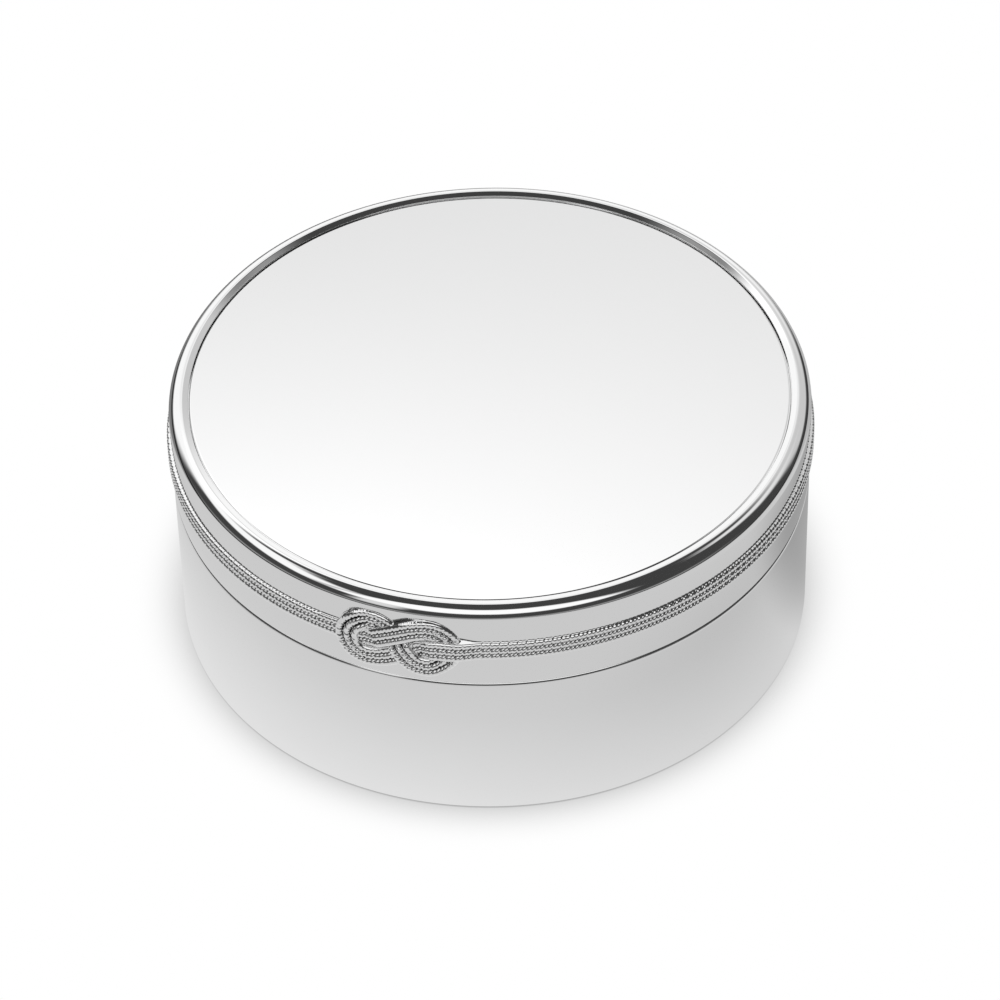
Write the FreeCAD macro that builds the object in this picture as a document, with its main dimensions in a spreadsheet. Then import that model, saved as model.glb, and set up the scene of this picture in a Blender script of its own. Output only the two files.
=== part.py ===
import FreeCAD, Part
import Sketcher
import math
import os
import re

# A round metal keepsake box with a lift-off lid. Three ropes run round the lid and tie in a
# figure-eight love knot at the front. Millimetres, +Z up, front towards -Y, origin under the felt.

sizes = {
    # base: a straight wall, a floor plate soldered into it and a felt pad
    "wall_radius": 65.0,
    "base_wall_thick": 1.5,
    "parting_height": 35.3,
    "parting_edge": 0.3,
    "foot_edge": 0.5,
    "floor_recess": 1.0,
    "floor_thick": 1.0,
    "felt_proud": 0.4,
    "felt_margin": 2.5,
    "solder_gap": 0.05,
    # collar inside the base wall, which the lid slides over
    "collar_thick": 0.8,
    "collar_rise": 4.0,
    "collar_hold": 8.0,
    "collar_edge": 0.25,
    "collar_clearance": 0.3,
    # velvet linings
    "lining_thick": 1.6,
    "lining_drop": 1.0,
    "lining_gap": 0.05,
    # lid: skirt, moulded rim and panel
    "skirt_thick": 1.2,
    "skirt_height": 16.2,
    "rim_height": 3.0,
    "rim_round": 2.4,
    "rim_crown": 0.5,
    "slope_width": 1.5,
    "slope_drop": 0.6,
    "ledge_width": 1.5,
    "panel_thick": 1.2,
    "panel_gap": 0.1,
    # rope band round the skirt
    "rope_width": 1.38,
    "rope_depth": 0.7,
    "rope_gap": 0.12,
    "rope_standoff": 0.05,
    "rope_height": 9.3,
    # love knot tied in the rope band
    "loop_radius": 4.7,
    "loop_offset": 5.5,
    "crest_radius": 9.0,
    "lead_radius": 8.0,
    "lead_angle": 26.8,
    "tail_length": 8.5,
    "crossing_gap": 0.15,
}
# how far a strand stays level before and after each of its crossings, in rope pitches: the first
# half of the knot, as the second half is the same run backwards
crossing_shares = [(2.0, 2.55), (2.1, 1.4), (2.45, 2.45), (3.5, 1.27)]
strand_step_share = 0.85
rope_top_share = 0.55
rim_steps = 5
slope_steps = 4
route_steps = 360
parallel_share = 0.01

doc = FreeCAD.newDocument("KeepsakeBox")
sheet = doc.addObject("Spreadsheet::Sheet", "Sizes")
for row, (name, value) in enumerate(sizes.items(), start=1):
    sheet.set(f"A{row}", name)
    sheet.set(f"B{row}", str(value))
    sheet.setAlias(f"B{row}", name)
doc.recompute()


# An expression in the names of the sizes, as the document's objects need it
def tied(text):
    return re.sub(r"[a-z_]+", lambda word: "Sizes." + word[0] if word[0] in sizes else word[0], text)


# The present value of such an expression
def value_of(text):
    return float(sheet.evalExpression(tied(text)))


def bind(thing, **links):
    for name, text in links.items():
        thing.setExpression(name.replace("__", "."), tied(text))


# Places that several pieces share
wall_inside = "(wall_radius - base_wall_thick)"
floor_under = "(felt_proud + floor_recess)"
floor_top = f"({floor_under} + floor_thick)"
collar_outside = "(wall_radius - max(base_wall_thick + solder_gap; skirt_thick + collar_clearance))"
collar_inside = f"({collar_outside} - collar_thick)"
collar_top = "(parting_height + collar_rise)"
lining_outside = f"({collar_inside} - lining_gap)"
skirt_top = "(parting_height + skirt_height)"
rim_top = f"({skirt_top} + rim_height)"
crown_inside = "(wall_radius - rim_round - rim_crown)"
panel_seat = f"({crown_inside} - slope_width)"
panel_top = f"({rim_top} - slope_drop)"
rope_middle_height = "(parting_height + rope_height)"
rope_pitch = "(rope_width + rope_gap)"
rope_inside = "(wall_radius + rope_standoff)"

pieces = []


# A body whose outline of (radius, height) corners turns round the box's axis, open at the front
# where it turns less than all the way
def ring(label, corners, turn=360):
    body = doc.addObject("PartDesign::Body", label)
    body.Label = label
    pieces.append(body)
    sketch = body.newObject("Sketcher::SketchObject", label + "_outline")
    upright = [plane for plane in body.Origin.OriginFeatures if plane.Role == "YZ_Plane"][0]
    sketch.AttachmentSupport = (upright, [""])
    sketch.MapMode = "FlatFace"
    points = [FreeCAD.Vector(value_of(radius), value_of(height), 0) for radius, height in corners]
    for start, end in zip(points, points[1:] + points[:1]):
        sketch.addGeometry(Part.LineSegment(start, end))
    for line in range(len(points)):
        following = (line + 1) % len(points)
        sketch.addConstraint(Sketcher.Constraint("Coincident", line, 2, following, 1))
    for line, (point, corner) in enumerate(zip(points, corners)):
        for kind, place, text in (("DistanceX", point.x, corner[0]), ("DistanceY", point.y, corner[1])):
            link = sketch.addConstraint(Sketcher.Constraint(kind, -1, 1, line, 1, place))
            sketch.setExpression(f"Constraints[{link}]", tied(text))
    turned = body.newObject("PartDesign::Revolution", label + "_turned")
    turned.Profile = sketch
    turned.ReferenceAxis = (sketch, ["V_Axis"])
    turned.Midplane = True
    turned.Angle = turn
    doc.recompute()
    return body


# Break a ring's edge at a (radius, height) place
def break_edge(body, size, radius, height):
    base = body.Tip
    names = []
    for index, edge in enumerate(base.Shape.Edges, start=1):
        if isinstance(edge.Curve, Part.Circle):
            same_radius = math.isclose(edge.Curve.Radius, value_of(radius))
            if same_radius and math.isclose(edge.Curve.Center.z, value_of(height)):
                names.append(f"Edge{index}")
    broken = body.newObject("PartDesign::Chamfer", f"{body.Label}_{size}")
    broken.Base = (base, names)
    bind(broken, Size=size)
    doc.recompute()


# A flat round piece, such as a plate or a pad
def disc(label, radius, under, thick):
    plate = doc.addObject("Part::Cylinder", label)
    plate.Label = label
    bind(plate, Radius=radius, Height=thick, Placement__Base__z=under)
    pieces.append(plate)


def upright_ring(label, outside, thick, under, top):
    inside = f"{outside} - {thick}"
    return ring(label, [(inside, under), (outside, under), (outside, top), (inside, top)])


def make_base():
    base_wall = upright_ring("base_wall", "wall_radius", "base_wall_thick", "felt_proud", "parting_height")
    break_edge(base_wall, "parting_edge", "wall_radius", "parting_height")
    break_edge(base_wall, "foot_edge", "wall_radius", "felt_proud")
    disc("base_floor", f"{wall_inside} - solder_gap", floor_under, "floor_thick")
    disc("base_felt", f"{wall_inside} - felt_margin", "0 * felt_proud", floor_under)
    collar_under = "parting_height - collar_hold"
    base_collar = upright_ring("base_collar", collar_outside, "collar_thick", collar_under, collar_top)
    break_edge(base_collar, "collar_edge", collar_outside, collar_top)


def make_linings():
    disc("floor_lining", lining_outside, floor_top, "lining_thick")
    wall_under = f"{floor_top} + lining_thick"
    upright_ring("wall_lining", lining_outside, "lining_thick", wall_under, f"{collar_top} - lining_drop")
    lid_lining = "wall_radius - skirt_thick - lining_gap"
    disc("lid_lining", lid_lining, f"{skirt_top} - lining_thick", "lining_thick")


def make_lid():
    lid_skirt = upright_ring("lid_skirt", "wall_radius", "skirt_thick", "parting_height", skirt_top)
    break_edge(lid_skirt, "parting_edge", "wall_radius", "parting_height")
    ledge_top = f"({panel_top} - panel_thick)"
    ledge_inside = f"{panel_seat} - ledge_width"
    rounded = []
    for step in range(rim_steps + 1):
        turn = math.pi / 2 * step / rim_steps
        out_share, up_share = 1 - math.cos(turn), 1 - math.sin(turn)
        rounded.append((f"wall_radius - rim_round * {out_share}", f"{rim_top} - rim_round * {up_share}"))
    ring("lid_rim", [
        (ledge_inside, skirt_top),
        ("wall_radius", skirt_top),
        *rounded,
        (crown_inside, rim_top),
        (panel_seat, panel_top),
        (panel_seat, ledge_top),
        (ledge_inside, ledge_top),
    ])
    disc("lid_panel", f"{panel_seat} - panel_gap", ledge_top, "panel_thick")


# The knot is laid out flat first: along the skirt, and up from the middle of the rope band.
# From its centre, half of it runs down the diagonal, round the loop on the right, over the top
# and in a long slope to the band on the left. The other half is the same, turned half round.
loop_radius = value_of("loop_radius")
loop_offset = value_of("loop_offset")
crest_radius = value_of("crest_radius")
lead_radius = value_of("lead_radius")
lead_turn = math.radians(value_of("lead_angle"))
diagonal_lean = math.asin(loop_radius / loop_offset)
lead_fall = loop_radius - (crest_radius + lead_radius) * (1 - math.cos(lead_turn))
half_runs = [
    # length, and how sharply it turns to the left
    (math.sqrt(loop_offset ** 2 - loop_radius ** 2), 0),
    (loop_radius * (math.pi + diagonal_lean), 1 / loop_radius),
    (crest_radius * lead_turn, 1 / crest_radius),
    (lead_fall / math.sin(lead_turn), 0),
    (lead_radius * lead_turn, -1 / lead_radius),
    (value_of("tail_length"), 0),
]
half_length = sum(length for length, turning in half_runs)


# The knot's middle line at a distance from its centre, less than 0 on the left band's side:
# the place along the skirt, the place up it, and the heading
def knot_place(distance):
    left = abs(distance)
    along = up = 0
    heading = -diagonal_lean
    for length, turning in half_runs:
        step = min(left, length)
        if turning:
            along += (math.sin(heading + turning * step) - math.sin(heading)) / turning
            up += (math.cos(heading) - math.cos(heading + turning * step)) / turning
            heading += turning * step
        else:
            along += step * math.cos(heading)
            up += step * math.sin(heading)
        left -= step
    side = 1 if distance < 0 else -1
    return side * along, side * up, heading + math.pi


def spread(count):
    return [half_length * (2 * step / count - 1) for step in range(count + 1)]


# The distances at which the middle line crosses itself, in order along the knot
def knot_crossings():
    marks = spread(route_steps)
    places = [FreeCAD.Vector(*knot_place(mark)[:2], 0) for mark in marks]
    stride = marks[1] - marks[0]
    found = []
    for first in range(route_steps):
        one = places[first + 1] - places[first]
        for second in range(first + 2, route_steps):
            other = places[second + 1] - places[second]
            across = one.cross(other).z
            if abs(across) < parallel_share * one.Length * other.Length:
                continue
            apart = places[second] - places[first]
            share = apart.cross(other).z / across
            other_share = apart.cross(one).z / across
            if 0 <= share < 1 and 0 <= other_share < 1:
                found += [marks[first] + share * stride, marks[second] + other_share * stride]
    return sorted(found)


def eased(share):
    return (1 - math.cos(math.pi * min(max(share, 0), 1))) / 2


# The stretches of a strand that stay level, as (start, end, level): under and over by turns, from
# 0 on the skirt to 1 over another strand
def knot_levels():
    pitch = value_of(rope_pitch)
    shares = crossing_shares + [(before, after) for after, before in reversed(crossing_shares)]
    levels = [(-half_length, -half_length, 0)]
    for order, (crossing, (before, after)) in enumerate(zip(knot_crossings(), shares)):
        levels.append((crossing - pitch * before, crossing + pitch * after, order % 2))
    return levels + [(half_length, half_length, 0)]


# The distances at which a strand gets a section, each with its lift: closer on the slopes
# between two levels
def strand_marks():
    step = value_of(rope_pitch) * strand_step_share
    levels = knot_levels()
    marks = []
    for (start, end, level), (following, last, next_level) in zip(levels, levels[1:]):
        flat_steps = math.ceil((end - start) / step)
        marks += [(start + (end - start) * order / flat_steps, level) for order in range(flat_steps)]
        steps = max(slope_steps, math.ceil((following - end) / step))
        for order in range(steps):
            share = order / steps
            marks.append((end + (following - end) * share, level + (next_level - level) * eased(share)))
    return marks + [(half_length, 0)]


# One rope of the knot: a solid through sections with a flat back towards the skirt
def knot_strand(label, side, marks):
    wall = value_of("wall_radius")
    pitch = value_of(rope_pitch)
    depth = value_of("rope_depth")
    sections = []
    for distance, level in marks:
        along, up, heading = knot_place(distance)
        turn = (along - side * pitch * math.sin(heading)) / wall
        outward = FreeCAD.Vector(math.sin(turn), -math.cos(turn), 0)
        round_skirt = FreeCAD.Vector(math.cos(turn), math.sin(turn), 0)
        under = outward * (value_of(rope_inside) + level * (depth + value_of("crossing_gap")))
        under.z = value_of(rope_middle_height) + up + side * pitch * math.cos(heading)
        top = under + outward * depth
        across = FreeCAD.Vector(0, 0, math.cos(heading)) - round_skirt * math.sin(heading)
        sideways = across * value_of("rope_width") / 2
        top_sideways = sideways * rope_top_share
        corners = [under - sideways, top - top_sideways, top + top_sideways, under + sideways]
        sections.append(Part.makePolygon(corners + corners[:1]))
    strand = doc.addObject("Part::Feature", label)
    strand.Label = label
    strand.Shape = Part.makeLoft(sections, True, True)
    pieces.append(strand)


# A rope of the band: half round in four flats, with its back to the skirt, open where the knot is
def band_rope(label, side, turn):
    height = f"{rope_middle_height} + {side} * {rope_pitch}"
    outer = f"{rope_inside} + rope_depth"
    ring(label, [
        (rope_inside, f"{height} - rope_width / 2"),
        (outer, f"{height} - rope_width * {rope_top_share} / 2"),
        (outer, f"{height} + rope_width * {rope_top_share} / 2"),
        (rope_inside, f"{height} + rope_width / 2"),
    ], turn)


def make_ropes():
    knot_reach = abs(knot_place(half_length)[0])
    knot_turn = math.degrees(2 * knot_reach / value_of("wall_radius"))
    marks = strand_marks()
    for level, side in (("upper", 1), ("middle", 0), ("lower", -1)):
        band_rope("rope_" + level, side, 360 - knot_turn)
        knot_strand("knot_" + level, side, marks)


make_base()
make_linings()
make_lid()
make_ropes()
doc.recompute()

for thing in doc.Objects:
    if {"Invalid", "Error"} & set(thing.State):
        raise RuntimeError(f"{thing.Label} failed: {thing.State}")
for piece in pieces:
    if piece.Shape.isNull() or not piece.Shape.isValid() or len(piece.Shape.Solids) != 1:
        raise RuntimeError(f"{piece.Label} is not one sound solid")

os.makedirs("parts", exist_ok=True)
for piece in pieces:
    piece.Shape.exportStep(f"parts/{piece.Label}.step")
    print(f"{piece.Label}: {piece.Shape.Volume:.1f} cubic mm")
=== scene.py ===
import bmesh
import bpy
import math
from functools import partial
from mathutils import Matrix, Vector


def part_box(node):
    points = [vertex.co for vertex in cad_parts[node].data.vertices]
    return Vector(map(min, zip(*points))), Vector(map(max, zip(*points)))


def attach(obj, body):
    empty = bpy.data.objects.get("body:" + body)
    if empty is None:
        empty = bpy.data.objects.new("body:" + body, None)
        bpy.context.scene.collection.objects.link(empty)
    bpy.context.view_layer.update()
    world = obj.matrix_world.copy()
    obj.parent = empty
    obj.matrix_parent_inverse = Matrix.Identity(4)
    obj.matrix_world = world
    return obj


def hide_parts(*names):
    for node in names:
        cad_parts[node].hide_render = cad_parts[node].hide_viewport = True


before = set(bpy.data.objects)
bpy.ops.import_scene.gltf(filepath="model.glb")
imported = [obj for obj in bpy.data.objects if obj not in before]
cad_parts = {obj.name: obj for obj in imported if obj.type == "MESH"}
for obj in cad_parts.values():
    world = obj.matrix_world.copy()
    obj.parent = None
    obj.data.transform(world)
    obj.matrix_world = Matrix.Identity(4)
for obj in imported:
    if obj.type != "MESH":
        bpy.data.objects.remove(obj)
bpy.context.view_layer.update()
mm = 0.001
print("frame loaded:", len(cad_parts), "solids")


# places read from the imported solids, in millimetres
def radiusOf(node):
    low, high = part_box(node)
    return (high.x - low.x) / 2 / mm


def heightsOf(node):
    low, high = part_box(node)
    return low.z / mm, high.z / mm


wallRadius = 65.0
footHeight, partingHeight = heightsOf("base_wall")
skirtTop = heightsOf("lid_skirt")[1]
rimTop = heightsOf("lid_rim")[1]
panelUnder, panelTop = heightsOf("lid_panel")
panelRadius = radiusOf("lid_panel")


# finishes
def newMaterial(name):
    material = bpy.data.materials.new(name)
    material.use_nodes = True
    return material, material.node_tree.nodes, material.node_tree.links


def addNode(nodes, kind, **settings):
    node = nodes.new(kind)
    for key, value in settings.items():
        if key in node.inputs:
            node.inputs[key].default_value = value
        else:
            setattr(node, key, value)
    return node


def ranged(nodes, links, value, fromLow, fromHigh, toLow=0.0, toHigh=1.0):
    node = addNode(nodes, "ShaderNodeMapRange", interpolation_type="SMOOTHSTEP")
    amounts = {"From Min": fromLow, "From Max": fromHigh, "To Min": toLow, "To Max": toHigh}
    for key, amount in amounts.items():
        node.inputs[key].default_value = amount
    links.new(value, node.inputs["Value"])
    return node.outputs["Result"]


def joined(nodes, links, operation, first, second=None):
    node = addNode(nodes, "ShaderNodeMath", operation=operation)
    for socket, value in zip(node.inputs, (first, second)):
        if isinstance(value, (int, float)):
            socket.default_value = value
        elif value is not None:
            links.new(value, socket)
    return node.outputs[0]


def towards(nodes, links, place, way):
    node = addNode(nodes, "ShaderNodeVectorMath", operation="DOT_PRODUCT")
    node.inputs[1].default_value = way
    links.new(place, node.inputs[0])
    return node.outputs["Value"]


# polished silver plate: the buffing wheel left fine lines round the box,
# and the gloss is a little uneven
def silverPlate(name, look):
    material, nodes, links = newMaterial(name)
    shader = nodes["Principled BSDF"]
    shader.inputs["Metallic"].default_value = 1.0
    place = addNode(nodes, "ShaderNodeTexCoord")
    cloudy = addNode(nodes, "ShaderNodeTexNoise", Scale=look["cloudScale"], Detail=3.0)
    links.new(place.outputs["Object"], cloudy.inputs["Vector"])
    gloss = addNode(nodes, "ShaderNodeMapRange")
    gloss.inputs["To Min"].default_value = look["roughness"][0]
    gloss.inputs["To Max"].default_value = look["roughness"][1]
    links.new(cloudy.outputs["Fac"], gloss.inputs["Value"])
    links.new(gloss.outputs["Result"], shader.inputs["Roughness"])
    tone = addNode(nodes, "ShaderNodeMix", data_type="RGBA")
    tone.inputs["A"].default_value = (*look["shadeColour"], 1)
    tone.inputs["B"].default_value = (*look["colour"], 1)
    links.new(cloudy.outputs["Fac"], tone.inputs["Factor"])
    links.new(tone.outputs["Result"], shader.inputs["Base Color"])
    buffing = addNode(nodes, "ShaderNodeTexNoise", Scale=1.0, Detail=2.0)
    stretch = addNode(nodes, "ShaderNodeMapping")
    stretch.inputs["Scale"].default_value = look["buffScale"]
    links.new(place.outputs["Object"], stretch.inputs["Vector"])
    links.new(stretch.outputs["Vector"], buffing.inputs["Vector"])
    bump = addNode(nodes, "ShaderNodeBump", Strength=look["buffStrength"],
                   Distance=look["buffDepth"] * mm)
    links.new(buffing.outputs["Fac"], bump.inputs["Height"])
    links.new(bump.outputs["Normal"], shader.inputs["Normal"])
    return material


wallPlate = silverPlate("wallPlate", {
    "colour": (0.95, 0.95, 0.95),
    "shadeColour": (0.93, 0.93, 0.932),
    "roughness": (0.03, 0.06),
    "cloudScale": 60.0,
    "buffScale": (40.0, 40.0, 900.0),
    "buffStrength": 0.05,
    "buffDepth": 0.02,
})
panelPlate = silverPlate("panelPlate", {
    "colour": (0.975, 0.975, 0.975),
    "shadeColour": (0.965, 0.965, 0.966),
    "roughness": (0.02, 0.04),
    "cloudScale": 35.0,
    "buffScale": (60.0, 60.0, 60.0),
    "buffStrength": 0.02,
    "buffDepth": 0.02,
})


# rope plate: bright on the strands, darkened between the ropes by tarnish and by painted shade where
# the valleys lie in shadow
def ropePlateFinish(look):
    material, nodes, links = newMaterial("ropePlate")
    shader = nodes["Principled BSDF"]
    shader.inputs["Metallic"].default_value = 1.0
    tarnishAndShade = addNode(nodes, "ShaderNodeAttribute", attribute_name="tarnishAndShade")
    place = addNode(nodes, "ShaderNodeTexCoord")
    patchy = addNode(nodes, "ShaderNodeTexNoise", Scale=look["patchScale"], Detail=2.0)
    links.new(place.outputs["Object"], patchy.inputs["Vector"])
    worn = addNode(nodes, "ShaderNodeMapRange")
    worn.inputs["To Min"].default_value = look["wear"][0]
    worn.inputs["To Max"].default_value = look["wear"][1]
    links.new(patchy.outputs["Fac"], worn.inputs["Value"])
    depth = addNode(nodes, "ShaderNodeMath", operation="MULTIPLY", use_clamp=True)
    links.new(tarnishAndShade.outputs["Fac"], depth.inputs[0])
    links.new(worn.outputs["Result"], depth.inputs[1])
    # towards the dark colour: tarnish together with painted shade in the valleys between the ropes
    tone = addNode(nodes, "ShaderNodeMix", data_type="RGBA")
    tone.inputs["A"].default_value = (*look["colour"], 1)
    tone.inputs["B"].default_value = (*look["tarnishAndShadeColour"], 1)
    links.new(depth.outputs[0], tone.inputs["Factor"])
    links.new(tone.outputs["Result"], shader.inputs["Base Color"])
    gloss = addNode(nodes, "ShaderNodeMapRange")
    gloss.inputs["To Min"].default_value = look["roughness"][0]
    gloss.inputs["To Max"].default_value = look["roughness"][1]
    links.new(depth.outputs[0], gloss.inputs["Value"])
    links.new(gloss.outputs["Result"], shader.inputs["Roughness"])
    return material


ropePlate = ropePlateFinish({
    "colour": (0.93, 0.93, 0.93),
    # dark of the tarnish and of the painted shade between the ropes
    "tarnishAndShadeColour": (0.12, 0.12, 0.12),
    "patchScale": 900.0,
    "wear": (0.7, 1.2),
    "roughness": (0.04, 0.4),
})


# velvet and felt: a short pile that catches light at its edges, brushed unevenly
pileLook = {"specular": 0.1, "distortion": 0.6, "toneShares": (0.3, 0.7)}


def pileFinish(name, look):
    material, nodes, links = newMaterial(name)
    shader = nodes["Principled BSDF"]
    shader.inputs["Roughness"].default_value = look["roughness"]
    shader.inputs["Specular IOR Level"].default_value = pileLook["specular"]
    shader.inputs["Sheen Weight"].default_value = look["sheen"]
    shader.inputs["Sheen Roughness"].default_value = look["sheenRoughness"]
    shader.inputs["Sheen Tint"].default_value = (*look["sheenColour"], 1)
    place = addNode(nodes, "ShaderNodeTexCoord")
    brushed = addNode(nodes, "ShaderNodeTexNoise", Scale=look["brushScale"], Detail=4.0,
                      Distortion=pileLook["distortion"])
    links.new(place.outputs["Object"], brushed.inputs["Vector"])
    tone = addNode(nodes, "ShaderNodeValToRGB")
    tones = (look["darkColour"], look["colour"])
    for stop, share, colour in zip(tone.color_ramp.elements, pileLook["toneShares"], tones):
        stop.position = share
        stop.color = (*colour, 1)
    links.new(brushed.outputs["Fac"], tone.inputs["Fac"])
    links.new(tone.outputs["Color"], shader.inputs["Base Color"])
    fibres = addNode(nodes, "ShaderNodeTexNoise", Scale=look["fibreScale"], Detail=2.0)
    links.new(place.outputs["Object"], fibres.inputs["Vector"])
    bump = addNode(nodes, "ShaderNodeBump", Strength=look["fibreStrength"],
                   Distance=look["fibreDepth"] * mm)
    links.new(fibres.outputs["Fac"], bump.inputs["Height"])
    links.new(bump.outputs["Normal"], shader.inputs["Normal"])
    return material


velvetPile = pileFinish("velvetPile", {
    "colour": (0.022, 0.022, 0.026),
    "darkColour": (0.010, 0.010, 0.012),
    "roughness": 0.9,
    "sheen": 0.8,
    "sheenRoughness": 0.35,
    "sheenColour": (0.55, 0.55, 0.62),
    "brushScale": 90.0,
    "fibreScale": 4200.0,
    "fibreStrength": 0.5,
    "fibreDepth": 0.15,
})
feltPile = pileFinish("feltPile", {
    "colour": (0.030, 0.030, 0.033),
    "darkColour": (0.014, 0.014, 0.016),
    "roughness": 0.95,
    "sheen": 0.25,
    "sheenRoughness": 0.6,
    "sheenColour": (0.5, 0.5, 0.5),
    "brushScale": 260.0,
    "fibreScale": 2600.0,
    "fibreStrength": 0.7,
    "fibreDepth": 0.25,
})
print("finishes made")


# turned pieces: an outline of (radius, height, corner radius) in millimetres,
# spun round the box's axis
spinSteps = 288
cornerSteps = 6
edgeStrip = 0.02  # keeps the long face beside a rounding flat in reflection
onAxis = 1e-6
spinCrease = 50  # degrees, past which an edge is sharp


def roundedOutline(corners):
    points = []
    for order, (radius, height, rounding) in enumerate(corners):
        here = Vector((radius, height))
        if not rounding:
            points.append(here)
            continue
        before = (Vector(corners[order - 1][:2]) - here).normalized()
        after = (Vector(corners[(order + 1) % len(corners)][:2]) - here).normalized()
        halfAngle = before.angle(after) / 2
        middle = here + (before + after).normalized() * rounding / math.sin(halfAngle)
        first = here + before * rounding / math.tan(halfAngle) - middle
        last = here + after * rounding / math.tan(halfAngle) - middle
        sweep = first.angle_signed(last)
        points.append(middle + first + before * edgeStrip)
        for step in range(cornerSteps + 1):
            points.append(middle + Matrix.Rotation(-sweep * step / cornerSteps, 2) @ first)
        points.append(middle + last + after * edgeStrip)
    return points


def spinPiece(name, corners, material, sway=None):
    outline = roundedOutline(corners)
    shape = bmesh.new()
    rings = []
    for point in outline:
        if point.x < onAxis:
            rings.append([shape.verts.new((0, 0, point.y * mm))] * spinSteps)
            continue
        ring = []
        for step in range(spinSteps):
            turn = 2 * math.pi * step / spinSteps
            radius, height = sway(point.x, point.y, turn) if sway else point
            spot = (radius * math.cos(turn) * mm, radius * math.sin(turn) * mm, height * mm)
            ring.append(shape.verts.new(spot))
        rings.append(ring)
    closed = outline[0].x > onAxis
    pairs = zip(rings, rings[1:] + rings[:1]) if closed else zip(rings, rings[1:])
    for lower, upper in pairs:
        for step in range(spinSteps):
            following = (step + 1) % spinSteps
            loop = [lower[step], lower[following], upper[following], upper[step]]
            shape.faces.new(list(dict.fromkeys(loop)))
    bmesh.ops.recalc_face_normals(shape, faces=shape.faces)
    mesh = bpy.data.meshes.new(name)
    shape.to_mesh(mesh)
    shape.free()
    mesh.shade_smooth()
    mesh.set_sharp_from_angle(angle=math.radians(spinCrease))
    mesh.materials.append(material)
    piece = bpy.data.objects.new(name, mesh)
    bpy.context.scene.collection.objects.link(piece)
    return piece


def standFor(piece, body, node):
    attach(piece, body)
    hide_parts(node)


baseLook = {"wallThick": 1.5, "partingRound": 0.9, "footRound": 0.15, "innerRound": 0.1}
wallInside = wallRadius - baseLook["wallThick"]
baseWall = spinPiece("baseWall", [
    (wallInside, footHeight, baseLook["innerRound"]),
    (wallRadius, footHeight, baseLook["footRound"]),
    (wallRadius, partingHeight, baseLook["partingRound"]),
    (wallInside, partingHeight, baseLook["innerRound"]),
], wallPlate)
standFor(baseWall, "base", "base_wall")

collarLook = {"thick": 0.8, "lipRound": 0.3}
collarRadius = radiusOf("base_collar")
collarUnder, collarTop = heightsOf("base_collar")
collarInside = collarRadius - collarLook["thick"]
baseCollar = spinPiece("baseCollar", [
    (collarInside, collarUnder, 0),
    (collarRadius, collarUnder, 0),
    (collarRadius, collarTop, collarLook["lipRound"]),
    (collarInside, collarTop, collarLook["lipRound"]),
], wallPlate)
standFor(baseCollar, "base", "base_collar")

skirtLook = {"thick": 1.2, "innerRound": 0.1, "partingRound": 0.45}
skirtInside = wallRadius - skirtLook["thick"]
lidSkirt = spinPiece("lidSkirt", [
    (skirtInside, partingHeight, skirtLook["innerRound"]),
    (wallRadius, partingHeight, skirtLook["partingRound"]),
    (wallRadius, skirtTop, 0),
    (skirtInside, skirtTop, 0),
], wallPlate)
standFor(lidSkirt, "lid", "lid_skirt")

panelLook = {"wider": 0.35, "edgeRound": 0.5, "gap": 0.1}  # the rim is fitted to it

# the rim is round outside and slopes in to a small lip above the panel
rimLook = {
    "outerRound": 2.65,
    "crownRound": 0.8,
    "slopeWidth": 1.5,
    "slopeRise": 0.38,
    "lipRound": 0.12,
    "ledgeWidth": 1.5,
}
panelSeat = panelRadius + panelLook["gap"]
crownInside = panelSeat + rimLook["slopeWidth"]
lipRadius = panelSeat + panelLook["wider"]
ledgeInside = panelSeat - rimLook["ledgeWidth"]
lidRim = spinPiece("lidRim", [
    (ledgeInside, skirtTop, 0),
    (wallRadius, skirtTop, 0),
    (wallRadius, rimTop, rimLook["outerRound"]),
    (crownInside, rimTop, rimLook["crownRound"]),
    (lipRadius, rimTop - rimLook["slopeRise"], rimLook["lipRound"]),
    (lipRadius, panelUnder, 0),
    (ledgeInside, panelUnder, 0),
], wallPlate)
standFor(lidRim, "lid", "lid_rim")

panelEdge = panelRadius + panelLook["wider"]
lidPanel = spinPiece("lidPanel", [
    (0, panelUnder, 0),
    (panelEdge, panelUnder, 0),
    (panelEdge, panelTop, panelLook["edgeRound"]),
    (0, panelTop, 0),
], panelPlate)
standFor(lidPanel, "lid", "lid_panel")
print("turned metal pieces made")


# soft pieces: velvet over thin padding, rounded at the edges and slightly uneven,
# and a felt pad
liningLook = {
    "edgeRound": 0.7,
    "hiddenRound": 0.3,
    "sink": 0.07,
    "edgeSink": 0.1,
    "ringShares": (0.97, 0.9, 0.8, 0.65, 0.5, 0.35, 0.2, 0.08),
    "unevenness": 0.06,
    "waves": 7,
    "drift": 0.15,
    "ripple": (0.21, 0.3),
}


def uneven(radius, height, turn):
    rounds = math.sin(liningLook["waves"] * turn + radius * liningLook["drift"])
    inward = math.sin(radius * liningLook["ripple"][0] + height * liningLook["ripple"][1])
    return radius, height + liningLook["unevenness"] * rounds * inward


floorUnder, floorTop = heightsOf("floor_lining")
floorRadius = radiusOf("floor_lining")
floorFace = floorTop - liningLook["sink"]
floorLining = spinPiece("floorLining", [
    (0, floorUnder, 0),
    (floorRadius, floorUnder, liningLook["hiddenRound"]),
    (floorRadius, floorTop - liningLook["edgeSink"], liningLook["edgeRound"]),
    *[(floorRadius * share, floorFace, 0) for share in liningLook["ringShares"]],
    (0, floorFace, 0),
], velvetPile, uneven)
standFor(floorLining, "base", "floor_lining")

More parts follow.
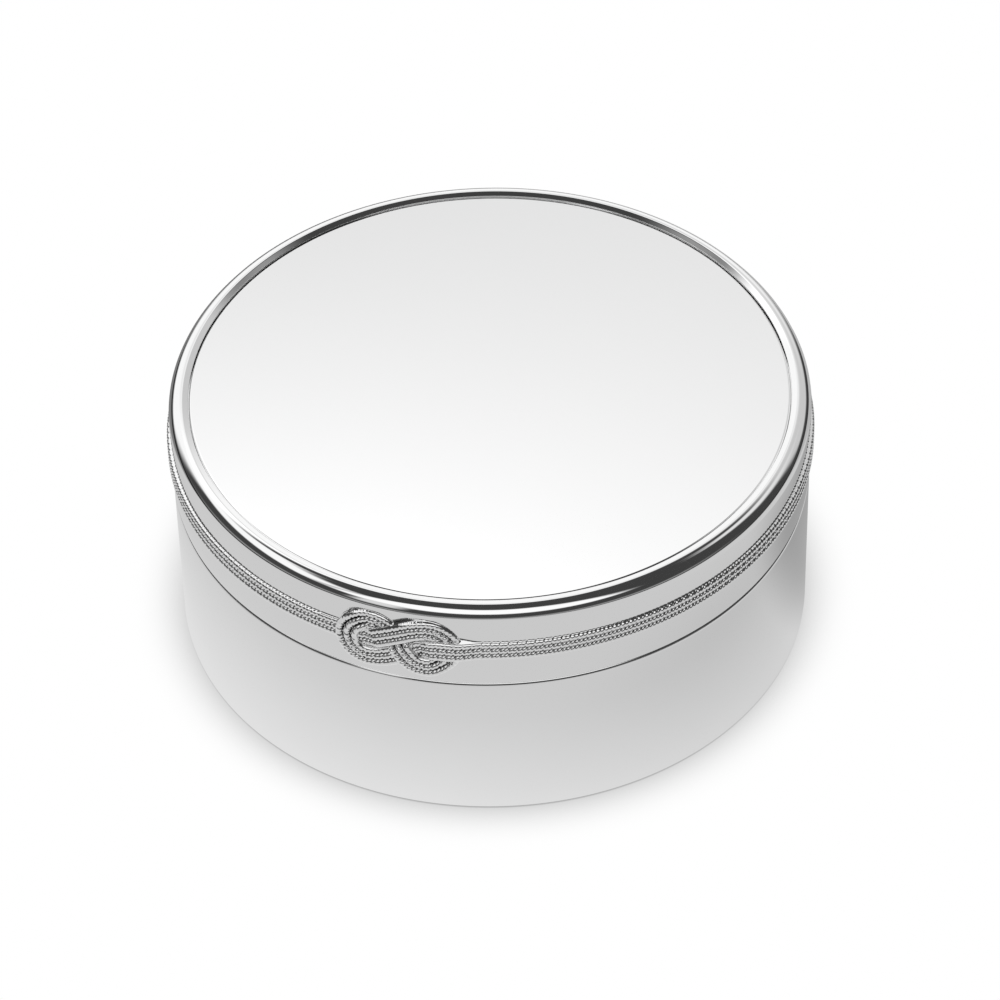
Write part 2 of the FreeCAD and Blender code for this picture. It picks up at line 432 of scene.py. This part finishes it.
wallLiningLook = {
    "thick": 1.6,
    "footInside": 0.3,
    "footOutside": 0.1,
    "topOutside": 0.6,
    "topInside": 0.8,
}
wallLow, wallHigh = heightsOf("wall_lining")
liningOutside = radiusOf("wall_lining")
liningInside = liningOutside - wallLiningLook["thick"]
wallLining = spinPiece("wallLining", [
    (liningInside, wallLow, wallLiningLook["footInside"]),
    (liningOutside, wallLow, wallLiningLook["footOutside"]),
    (liningOutside, wallHigh, wallLiningLook["topOutside"]),
    (liningInside, wallHigh, wallLiningLook["topInside"]),
], velvetPile)
standFor(wallLining, "base", "wall_lining")

lidUnder, lidTop = heightsOf("lid_lining")
lidRadius = radiusOf("lid_lining")
lidFace = lidUnder + liningLook["sink"]
lidLining = spinPiece("lidLining", [
    (0, lidFace, 0),
    *[(lidRadius * share, lidFace, 0) for share in reversed(liningLook["ringShares"])],
    (lidRadius, lidUnder + liningLook["edgeSink"], liningLook["edgeRound"]),
    (lidRadius, lidTop, liningLook["hiddenRound"]),
    (0, lidTop, 0),
], velvetPile, uneven)
standFor(lidLining, "lid", "lid_lining")

feltLook = {"edgeRound": 0.25, "topRound": 0.1, "ringShare": 0.6}
feltUnder, feltTop = heightsOf("base_felt")
feltRadius = radiusOf("base_felt")
baseFelt = spinPiece("baseFelt", [
    (0, feltUnder, 0),
    (feltRadius * feltLook["ringShare"], feltUnder, 0),
    (feltRadius, feltUnder, feltLook["edgeRound"]),
    (feltRadius, feltTop, feltLook["topRound"]),
    (0, feltTop, 0),
], feltPile)
standFor(baseFelt, "base", "base_felt")

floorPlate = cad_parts["base_floor"].data
floorPlate.materials.clear()
floorPlate.materials.append(wallPlate)
print("linings and felt made")


# twisted rope along a path: round outside and straight-sided where it meets the skirt,
# with grooves between its strands; places are in rope radii from the rope's middle
sectionLook = {
    "flank": (0.15, 0.6),
    "carved": (0.0, 0.3),
    "sideSharpness": 8,
    "darkGroove": (0.6, 0.25),
    "darkOutside": (0.85, 0.55),
    "darkFoot": (0.3, 0.1),
}
ropeInputs = {
    "Rope Radius": "Float",
    "Strands": "Int",
    "Lay": "Float",
    "Groove Depth": "Float",
    "Unevenness": "Float",
    "Start Turn": "Float",
    "Step": "Float",
    "Section Points": "Int",
    "Upper Neighbour": "Float",
    "Lower Neighbour": "Float",
    "Flank Smoothing": "Float",
    "Finish": "Material",
}


def ropeTree():
    tree = bpy.data.node_groups.new("twistedRope", "GeometryNodeTree")
    face = tree.interface
    face.new_socket("Geometry", in_out="INPUT", socket_type="NodeSocketGeometry")
    sockets = {}
    for name, kind in ropeInputs.items():
        socket = face.new_socket(name, in_out="INPUT", socket_type="NodeSocket" + kind)
        sockets[name] = socket.identifier
    face.new_socket("Geometry", in_out="OUTPUT", socket_type="NodeSocketGeometry")
    nodes, links = tree.nodes, tree.links
    maths = partial(joined, nodes, links)
    fade = partial(ranged, nodes, links)

    def vectors(operation, first, second, factor=None):
        node = addNode(nodes, "ShaderNodeVectorMath", operation=operation)
        links.new(first, node.inputs[0])
        if second is not None:
            links.new(second, node.inputs[1])
        if factor is not None:
            links.new(factor, node.inputs["Scale"])
        return node.outputs["Value" if operation == "DOT_PRODUCT" else "Vector"]

    given = nodes.new("NodeGroupInput").outputs
    # the path, evenly stepped, with its normal away from the box's axis
    stepped = addNode(nodes, "GeometryNodeResampleCurve", mode="LENGTH")
    links.new(given["Geometry"], stepped.inputs["Curve"])
    links.new(given["Step"], stepped.inputs["Length"])
    place = nodes.new("GeometryNodeInputPosition").outputs[0]
    flat = addNode(nodes, "ShaderNodeVectorMath", operation="MULTIPLY")
    flat.inputs[1].default_value = (1, 1, 0)
    links.new(place, flat.inputs[0])
    outside = addNode(nodes, "ShaderNodeVectorMath", operation="NORMALIZE")
    links.new(flat.outputs[0], outside.inputs[0])
    facing = addNode(nodes, "GeometryNodeSetCurveNormal", mode="FREE")
    links.new(stepped.outputs[0], facing.inputs["Curve"])
    links.new(outside.outputs[0], facing.inputs["Normal"])
    # what each place on the surface needs to know later: the rope's middle, outside
    # and upper side, how far along it lies and how thick the rope is there
    tangent = nodes.new("GeometryNodeInputTangent").outputs[0]
    travel = nodes.new("GeometryNodeSplineParameter").outputs["Length"]
    thickness = nodes.new("GeometryNodeInputRadius").outputs[0]
    known = nodes.new("GeometryNodeCaptureAttribute")
    for kind, name, value in (
        ("VECTOR", "Middle", place),
        ("VECTOR", "Outside", outside.outputs[0]),
        ("VECTOR", "Upside", vectors("CROSS_PRODUCT", outside.outputs[0], tangent)),
        ("FLOAT", "Travel", travel),
        ("FLOAT", "Size", maths("MULTIPLY", thickness, given["Rope Radius"])),
    ):
        known.capture_items.new(kind, name)
        links.new(value, known.inputs[name])
    links.new(facing.outputs[0], known.inputs["Geometry"])
    section = addNode(nodes, "GeometryNodeCurvePrimitiveCircle", mode="RADIUS")
    links.new(given["Section Points"], section.inputs["Resolution"])
    links.new(given["Rope Radius"], section.inputs["Radius"])
    swept = nodes.new("GeometryNodeCurveToMesh")
    swept.inputs["Fill Caps"].default_value = True
    links.new(known.outputs["Geometry"], swept.inputs["Curve"])
    links.new(section.outputs["Curve"], swept.inputs["Profile Curve"])
    # how far each place lies outside and above the middle, in rope radii
    spread = vectors("SUBTRACT", place, known.outputs["Middle"])
    size = known.outputs["Size"]
    proud = maths("DIVIDE", vectors("DOT_PRODUCT", spread, known.outputs["Outside"]), size)
    above = maths("DIVIDE", vectors("DOT_PRODUCT", spread, known.outputs["Upside"]), size)
    # neighbours: a side with none is smooth and bright, a side with one is grooved and has tarnish and
    # painted shade at its foot
    neighbour = addNode(nodes, "ShaderNodeMix", data_type="FLOAT")
    links.new(maths("GREATER_THAN", above, 0), neighbour.inputs["Factor"])
    links.new(given["Lower Neighbour"], neighbour.inputs["A"])
    links.new(given["Upper Neighbour"], neighbour.inputs["B"])
    flank = fade(maths("ABSOLUTE", above), *sectionLook["flank"])
    flank = maths("MULTIPLY", flank, given["Flank Smoothing"])
    smooth = maths("MULTIPLY", flank, maths("SUBTRACT", 1, neighbour.outputs["Result"]))
    carved = maths("MULTIPLY", fade(proud, *sectionLook["carved"]), maths("SUBTRACT", 1, smooth))
    # the grooves wind round the rope once in each lay, every other one deeper
    turn = maths("SUBTRACT", maths("ARCTAN2", above, proud), given["Start Turn"])
    lays = maths("DIVIDE", known.outputs["Travel"], given["Lay"])
    turn = maths("SUBTRACT", turn, maths("MULTIPLY", lays, 2 * math.pi))
    halfTurns = maths("MULTIPLY", maths("MULTIPLY", turn, given["Strands"]), 0.5)
    strand = maths("ABSOLUTE", maths("SINE", halfTurns))
    deeper = maths("ADD", 1, maths("MULTIPLY", maths("COSINE", turn), given["Unevenness"]))
    cut = maths("MULTIPLY", maths("SUBTRACT", 1, strand), deeper)
    cut = maths("MULTIPLY", cut, given["Groove Depth"])
    kept = maths("SUBTRACT", 1, maths("MULTIPLY", cut, carved))
    # straight sides below the middle
    sideways = addNode(nodes, "ShaderNodeClamp")
    sideways.inputs["Min"].default_value = -1
    links.new(maths("MULTIPLY", above, sectionLook["sideSharpness"]), sideways.inputs["Value"])
    outer = maths("GREATER_THAN", proud, 0)
    across = addNode(nodes, "ShaderNodeMix", data_type="FLOAT")
    links.new(outer, across.inputs["Factor"])
    links.new(sideways.outputs["Result"], across.inputs["A"])
    links.new(maths("MULTIPLY", above, kept), across.inputs["B"])
    outwards = maths("MULTIPLY", maths("MULTIPLY", proud, kept), size)
    upwards = maths("MULTIPLY", across.outputs["Result"], size)
    shaped = vectors("ADD", vectors("SCALE", known.outputs["Outside"], None, outwards),
                     vectors("SCALE", known.outputs["Upside"], None, upwards))
    # tarnish and painted shade at the foot and in the grooves, beside a neighbour only
    tarnishAndShade = addNode(nodes, "GeometryNodeStoreNamedAttribute", data_type="FLOAT", domain="POINT")
    tarnishAndShade.inputs["Name"].default_value = "tarnishAndShade"
    links.new(swept.outputs[0], tarnishAndShade.inputs["Geometry"])
    # painted shade and tarnish: dark in the grooves and at the foot, where the next rope shades the
    # valley
    grooved = maths("MULTIPLY", fade(strand, *sectionLook["darkGroove"]),
                    fade(proud, *sectionLook["darkOutside"]))
    dark = maths("MAXIMUM", fade(proud, *sectionLook["darkFoot"]), grooved)
    links.new(maths("MULTIPLY", dark, neighbour.outputs["Result"]), tarnishAndShade.inputs["Value"])
    carve = nodes.new("GeometryNodeSetPosition")
    links.new(tarnishAndShade.outputs[0], carve.inputs["Geometry"])
    links.new(vectors("ADD", known.outputs["Middle"], shaped), carve.inputs["Position"])
    real = nodes.new("GeometryNodeRealizeInstances")
    links.new(carve.outputs[0], real.inputs[0])
    finish = nodes.new("GeometryNodeSetMaterial")
    links.new(real.outputs[0], finish.inputs["Geometry"])
    links.new(given["Finish"], finish.inputs["Material"])
    links.new(finish.outputs[0], nodes.new("NodeGroupOutput").inputs[0])
    return tree, sockets


twistedRope, ropeSockets = ropeTree()

ropeLook = {
    "Rope Radius": 0.71 * mm,
    "Strands": 2,
    "Groove Depth": 0.26,
    "Unevenness": 0.4,
    "Step": 0.09 * mm,
    "Section Points": 20,
    "Finish": ropePlate,
}
ropeCrease = 70  # degrees


def makeRope(name, points, sizes, settings):
    path = bpy.data.curves.new(name + "Path", "CURVE")
    path.dimensions = "3D"
    spline = path.splines.new("POLY")
    spline.points.add(len(points) - 1)
    for spot, point, size in zip(spline.points, points, sizes):
        spot.co = (*(Vector(point) * mm), 1)
        spot.radius = size
    guide = bpy.data.objects.new(name + "Path", path)
    bpy.context.scene.collection.objects.link(guide)
    modifier = guide.modifiers.new("rope", "NODES")
    modifier.node_group = twistedRope
    for key, value in {**ropeLook, **settings}.items():
        modifier[ropeSockets[key]] = value
    evaluated = guide.evaluated_get(bpy.context.evaluated_depsgraph_get())
    mesh = bpy.data.meshes.new_from_object(evaluated)
    guide.modifiers.remove(modifier)
    bpy.data.objects.remove(guide)
    mesh.name = name
    mesh.shade_smooth()
    mesh.set_sharp_from_angle(angle=math.radians(ropeCrease))
    piece = bpy.data.objects.new(name, mesh)
    bpy.context.scene.collection.objects.link(piece)
    return piece


# the love knot's route on the skirt, from its centre outwards: along, up and heading
knotLook = {
    "loopRadius": 4.7,
    "loopOffset": 5.5,
    "crestRadius": 9.0,
    "leadRadius": 8.0,
    "leadAngle": 26.8,
    "tailLength": 8.5,
    "lift": 0.75,
    "pitch": 1.62,
    "thicker": 1.1,
    "longer": 1.02,
    "longerFade": 3,
    "flankSmoothing": 1.0,
    "steps": 600,
}
diagonalLean = math.asin(knotLook["loopRadius"] / knotLook["loopOffset"])
leadTurn = math.radians(knotLook["leadAngle"])
bends = knotLook["crestRadius"] + knotLook["leadRadius"]
leadFall = knotLook["loopRadius"] - bends * (1 - math.cos(leadTurn))
halfRuns = [  # length, and how sharply it turns to the left
    (math.sqrt(knotLook["loopOffset"] ** 2 - knotLook["loopRadius"] ** 2), 0),
    (knotLook["loopRadius"] * (math.pi + diagonalLean), 1 / knotLook["loopRadius"]),
    (knotLook["crestRadius"] * leadTurn, 1 / knotLook["crestRadius"]),
    (leadFall / math.sin(leadTurn), 0),
    (knotLook["leadRadius"] * leadTurn, -1 / knotLook["leadRadius"]),
    (knotLook["tailLength"], 0),
]
halfLength = sum(length for length, turning in halfRuns)


def knotPlace(distance):
    left = abs(distance)
    along = up = 0
    heading = -diagonalLean
    for length, turning in halfRuns:
        step = min(left, length)
        if turning:
            along += (math.sin(heading + turning * step) - math.sin(heading)) / turning
            up += (math.cos(heading) - math.cos(heading + turning * step)) / turning
            heading += turning * step
        else:
            along += step * math.cos(heading)
            up += step * math.sin(heading)
        left -= step
    side = 1 if distance < 0 else -1
    return side * along, side * up, heading + math.pi


# level stretches of a strand as (start, end, level): under and over by turns
knotLevels = [
    (-45.4, -35.3, 0),
    (-33.0, -27.7, 1),
    (-18.7, -11.4, 0),
    (-7.9, -0.8, 1),
    (0.8, 7.9, 0),
    (11.4, 18.7, 1),
    (27.7, 33.0, 0),
    (35.3, 39.5, 1),
    (45.4, 45.4, 0),
]


def eased(share):
    return (1 - math.cos(math.pi * min(max(share, 0), 1))) / 2


def knotLift(distance):
    for (_, end, level), (following, _, nextLevel) in zip(knotLevels, knotLevels[1:]):
        if distance <= end:
            return level
        if distance < following:
            return level + (nextLevel - level) * eased((distance - end) / (following - end))
    return 0


bandLook = {"strandPeriod": 0.86, "pitch": 1.5, "proud": 0.75, "flankSmoothing": 0.5, "steps": 1200}
ropeMiddle = sum(heightsOf("rope_middle")) / 2
ropeRadius = ropeLook["Rope Radius"] / mm
ropeCentre = wallRadius + bandLook["proud"] - ropeRadius
knotReach = abs(knotPlace(halfLength)[0])
openTurn = knotReach / wallRadius


def onSkirt(along, height, proud):
    turn = along / wallRadius
    radius = ropeCentre + proud
    return radius * math.sin(turn), -radius * math.cos(turn), height


bandLength = 2 * (math.pi - openTurn) * ropeCentre
strandLay = bandLook["strandPeriod"] * ropeLook["Strands"]
wholeTurns = round((bandLength + 2 * halfLength) / strandLay)
lay = (bandLength + 2 * halfLength) / wholeTurns  # the twist closes on itself
ropeLook["Lay"] = lay * mm
bandReach = 2 * (math.pi * wallRadius - knotReach)
for level, side in (("upper", 1), ("middle", 0), ("lower", -1)):
    neighbours = {
        "Upper Neighbour": 0.0 if level == "upper" else 1.0,
        "Lower Neighbour": 0.0 if level == "lower" else 1.0,
    }
    # the band, from one end of the knot round the back to the other
    height = ropeMiddle + side * bandLook["pitch"]
    band = []
    for step in range(bandLook["steps"] + 1):
        band.append(onSkirt(knotReach + bandReach * step / bandLook["steps"], height, 0))
    rope = makeRope(level + "Rope", band, [1.0] * len(band), {
        "Start Turn": 0.0,
        "Flank Smoothing": bandLook["flankSmoothing"],
        **neighbours,
    })
    standFor(rope, "lid", "rope_" + level)
    # the knot, whose rope is at full size once it has left the band
    strand, sizes = [], []
    for step in range(knotLook["steps"] + 1):
        distance = halfLength * (2 * step / knotLook["steps"] - 1)
        along, up, heading = knotPlace(distance)
        grown = eased((halfLength - abs(distance)) / knotLook["tailLength"])
        pitch = bandLook["pitch"] + (knotLook["pitch"] - bandLook["pitch"]) * grown
        along -= side * pitch * math.sin(heading)
        up += side * pitch * math.cos(heading)
        inside = eased((knotReach - abs(along)) / knotLook["longerFade"])
        along *= 1 + (knotLook["longer"] - 1) * inside
        strand.append(onSkirt(along, ropeMiddle + up, knotLift(distance) * knotLook["lift"]))
        sizes.append(1 + (knotLook["thicker"] - 1) * grown)
    knot = makeRope(level + "Knot", strand, sizes, {
        "Start Turn": 2 * math.pi * bandLength / lay,
        "Flank Smoothing": knotLook["flankSmoothing"],
        **neighbours,
    })
    standFor(knot, "lid", "knot_" + level)
    print("rope", level, "made:", len(rope.data.polygons), "and", len(knot.data.polygons), "faces")


# stage: the photograph's camera, a pale floor and a studio of lit panels
cameraLook = {
    "azimuth": 16.95,
    "elevation": 43.18,
    "distance": 975.0,
    "aim": 26.0,
    "focalPixels": 4731.7,
    "imagePixels": 1000.0,
    "roll": 1.46,
    "offset": (-7.8, -9.5),
    "sensor": 36.0,
    "clip": (0.01, 50.0),
}
azimuth = math.radians(cameraLook["azimuth"])
elevation = math.radians(cameraLook["elevation"])
frontWay = Vector((math.sin(azimuth), -math.cos(azimuth), 0))
rightWay = Vector((math.cos(azimuth), math.sin(azimuth), 0))
back = frontWay * math.cos(elevation) + Vector((0, 0, math.sin(elevation)))
lens = bpy.data.cameras.new("camera")
lens.sensor_width = cameraLook["sensor"]
lens.lens = lens.sensor_width * cameraLook["focalPixels"] / cameraLook["imagePixels"]
lens.shift_x = -cameraLook["offset"][0] / cameraLook["imagePixels"]
lens.shift_y = cameraLook["offset"][1] / cameraLook["imagePixels"]
lens.clip_start, lens.clip_end = cameraLook["clip"]
camera = bpy.data.objects.new("camera", lens)
bpy.context.scene.collection.objects.link(camera)
camera.location = Vector((0, 0, cameraLook["aim"] * mm)) + back * cameraLook["distance"] * mm
sight = (-back).to_track_quat("-Z", "Y").to_matrix().to_4x4()
roll = Matrix.Rotation(-math.radians(cameraLook["roll"]), 4, "Z")
camera.rotation_euler = (sight @ roll).to_euler()
bpy.context.scene.camera = camera

# floor: white paper with the box's soft contact shadow; polished metal sees it lit
# near the box and darker behind and at its sides; lengths in millimetres
floorLook = {
    "size": 6000.0,
    "drop": 0.05,  # clear of the felt, so the two faces never mix
    "paper": 0.8,
    "shadowReach": 12.0,
    "shadowDepth": 0.66,
    "shadowSamples": 16,
    "spread": 1000.0,
    # brightness that metal sees, by distance from the box's axis
    "mirrored": [(66.0, 0.81), (71.5, 0.765), (82.0, 0.70), (91.0, 0.65),
                 (101.0, 0.63), (112.0, 0.62), (500.0, 0.61), (900.0, 0.5)],
    # shades: from, to, brightness there and there
    "shadeTowards": (0.6, -0.8),
    "shade": (-85.0, 15.0, 1.0, 0.83),
    "shadeTurn": (0.788, 0.961, 1.0, 0.62),
    "shadeMiddle": (0.94, -0.342),
    "shadeReach": (85.0, 118.0),
    "behind": (-35.0, -95.0),
    "behindDim": (-90.0, 90.0, 0.33, 0.78),
    "sides": (300.0, 400.0, 1.0, 0.08),
}
floorMesh = bpy.data.meshes.new("floor")
half = floorLook["size"] * mm / 2
corners = ((-half, -half), (half, -half), (half, half), (-half, half))
floorMesh.from_pydata([(x, y, -floorLook["drop"] * mm) for x, y in corners], [], [(0, 1, 2, 3)])
floor = bpy.data.objects.new("floor", floorMesh)
bpy.context.scene.collection.objects.link(floor)
paper, nodes, links = newMaterial("paper")
nodes.remove(nodes["Principled BSDF"])
maths = partial(joined, nodes, links)
fade = partial(ranged, nodes, links)
place = addNode(nodes, "ShaderNodeTexCoord").outputs["Object"]
wayAlong = partial(towards, nodes, links, place)
measure = addNode(nodes, "ShaderNodeVectorMath", operation="LENGTH")
links.new(place, measure.inputs[0])
distance = measure.outputs["Value"]
lit = addNode(nodes, "ShaderNodeValToRGB")
stops = lit.color_ramp.elements
while len(stops) < len(floorLook["mirrored"]):
    stops.new(0.5)
for stop, (radius, brightness) in zip(stops, floorLook["mirrored"]):
    stop.position = radius / floorLook["spread"]
    stop.color = (brightness, brightness, brightness, 1)
links.new(maths("DIVIDE", distance, floorLook["spread"] * mm), lit.inputs["Fac"])

# shade near the box, towards the back and round its right side
right, front = floorLook["shadeTowards"]
low, high, clear, dim = floorLook["shade"]
shaded = fade(wayAlong(rightWay * right + frontWay * front), low * mm, high * mm, clear, dim)
right, front = floorLook["shadeMiddle"]
turned = maths("DIVIDE", wayAlong(rightWay * right + frontWay * front), distance)
shaded = maths("MULTIPLY", shaded, fade(turned, *floorLook["shadeTurn"]))
low, high = floorLook["shadeReach"]
close = fade(distance, high * mm, low * mm)
shaded = maths("SUBTRACT", 1, maths("MULTIPLY", close, maths("SUBTRACT", 1, shaded)))

# darker behind the box and far out to the sides
low, high, first, last = floorLook["behindDim"]
dim = fade(wayAlong(rightWay), low * mm, high * mm, first, last)
low, high = floorLook["behind"]
behind = fade(wayAlong(frontWay), high * mm, low * mm)
shaded = maths("MULTIPLY", shaded, maths("MAXIMUM", behind, dim))
low, high, clear, dim = floorLook["sides"]
sides = fade(maths("ABSOLUTE", wayAlong(rightWay)), low * mm, high * mm, clear, dim)
mirrored = addNode(nodes, "ShaderNodeEmission")
links.new(lit.outputs["Color"], mirrored.inputs["Color"])
links.new(maths("MULTIPLY", shaded, sides), mirrored.inputs["Strength"])

# the camera sees white paper and the contact shadow, soft things see plain paper
near = addNode(nodes, "ShaderNodeAmbientOcclusion", Distance=floorLook["shadowReach"] * mm,
               samples=floorLook["shadowSamples"])
seen = addNode(nodes, "ShaderNodeEmission")
shadow = fade(near.outputs["AO"], 0.0, 1.0, 1 - floorLook["shadowDepth"], 1.0)
links.new(shadow, seen.inputs["Strength"])
sheet = addNode(nodes, "ShaderNodeBsdfDiffuse")
sheet.inputs["Color"].default_value = (*[floorLook["paper"]] * 3, 1)
ray = addNode(nodes, "ShaderNodeLightPath").outputs
direct = maths("MAXIMUM", ray["Is Camera Ray"], ray["Is Transmission Ray"])
plain = addNode(nodes, "ShaderNodeMixShader")
links.new(direct, plain.inputs["Fac"])
links.new(sheet.outputs["BSDF"], plain.inputs[1])
links.new(seen.outputs["Emission"], plain.inputs[2])
whole = addNode(nodes, "ShaderNodeMixShader")
links.new(ray["Is Glossy Ray"], whole.inputs["Fac"])
links.new(plain.outputs["Shader"], whole.inputs[1])
links.new(mirrored.outputs["Emission"], whole.inputs[2])
links.new(whole.outputs["Shader"], nodes["Material Output"].inputs["Surface"])
floorMesh.materials.append(paper)

# world: white for the camera and even for soft things; metal sees the studio,
# a dark room with lit panels, each laid over those before it
studioLook = {
    "even": 1.0,
    "room": 0.05,
    # degrees to the right of the camera's side: from, to and softness;
    # degrees up: from, to, softness low and high; brightness
    "panels": {
        "haze": (-100, 70, 20, -12, 7, 4, 5, 0.3),
        "leftWall": (-141, -68, 7, 39, 63, 4, 4, 1.0),
        "backRight": (118, 215, 8, 14, 50, 5, 4, 0.6),
        "backHigh": (112, 142, 8, 40, 60, 8, 4, 0.8),
        "backLow": (155, 205, 12, -20, 28, 8, 8, 1.0),
        "backLeft": (-180, -125, 10, 8, 51, 5, 4, 1.0),
        "backPlain": (165, 195, 8, 33, 50, 4, 4, 0.78),
        "backMiddle": (174, 215, 12, 43, 52, 4.5, 4, 1.25),
        "frontBox": (-64, 49, 7, 41, 78, 4, 4, 1.05),
        "rightFlag": (40, 110, 14, 72, 100, 9, 4, 0.05),
        "frontGap": (-47, -31, 4, 19, 44, 5, 5, 0.7),
    },
}
world = bpy.data.worlds.new("studio")
bpy.context.scene.world = world
world.use_nodes = True
nodes, links = world.node_tree.nodes, world.node_tree.links
maths = partial(joined, nodes, links)
fade = partial(ranged, nodes, links)
way = addNode(nodes, "ShaderNodeTexCoord").outputs["Generated"]
wayAlong = partial(towards, nodes, links, way)
upward = maths("ARCSINE", wayAlong((0, 0, 1)))
studio = None
for name, (first, last, soft, *heights, brightness) in studioLook["panels"].items():
    low, high, lowSoft, highSoft = heights
    middle = math.radians(first + last) / 2
    ahead = wayAlong(frontWay * math.cos(middle) + rightWay * math.sin(middle))
    aside = wayAlong(rightWay * math.cos(middle) - frontWay * math.sin(middle))
    turned = maths("ABSOLUTE", maths("ARCTAN2", aside, ahead))
    reach, blur = math.radians(last - first) / 2, math.radians(soft)
    across = fade(turned, reach - blur, reach + blur, 1.0, 0.0)
    foot = fade(upward, math.radians(low - lowSoft), math.radians(low + lowSoft))
    head = fade(upward, math.radians(high - highSoft), math.radians(high + highSoft), 1.0, 0.0)
    layer = addNode(nodes, "ShaderNodeMix", data_type="FLOAT", label=name)
    layer.inputs["A"].default_value = studioLook["room"]
    layer.inputs["B"].default_value = brightness
    links.new(maths("MULTIPLY", across, maths("MULTIPLY", foot, head)), layer.inputs["Factor"])
    if studio:
        links.new(studio, layer.inputs["A"])
    studio = layer.outputs["Result"]
ray = addNode(nodes, "ShaderNodeLightPath").outputs
glossy = addNode(nodes, "ShaderNodeMix", data_type="FLOAT")
glossy.inputs["A"].default_value = studioLook["even"]
links.new(ray["Is Glossy Ray"], glossy.inputs["Factor"])
links.new(studio, glossy.inputs["B"])
direct = maths("MAXIMUM", ray["Is Camera Ray"], ray["Is Transmission Ray"])
shown = addNode(nodes, "ShaderNodeMix", data_type="FLOAT")
shown.inputs["B"].default_value = 1.0
links.new(direct, shown.inputs["Factor"])
links.new(glossy.outputs["Result"], shown.inputs["A"])
links.new(shown.outputs["Result"], nodes["Background"].inputs["Strength"])
nodes["Background"].inputs["Color"].default_value = (1, 1, 1, 1)
bpy.context.scene.view_settings.view_transform = "Standard"
print("stage, light and camera set")
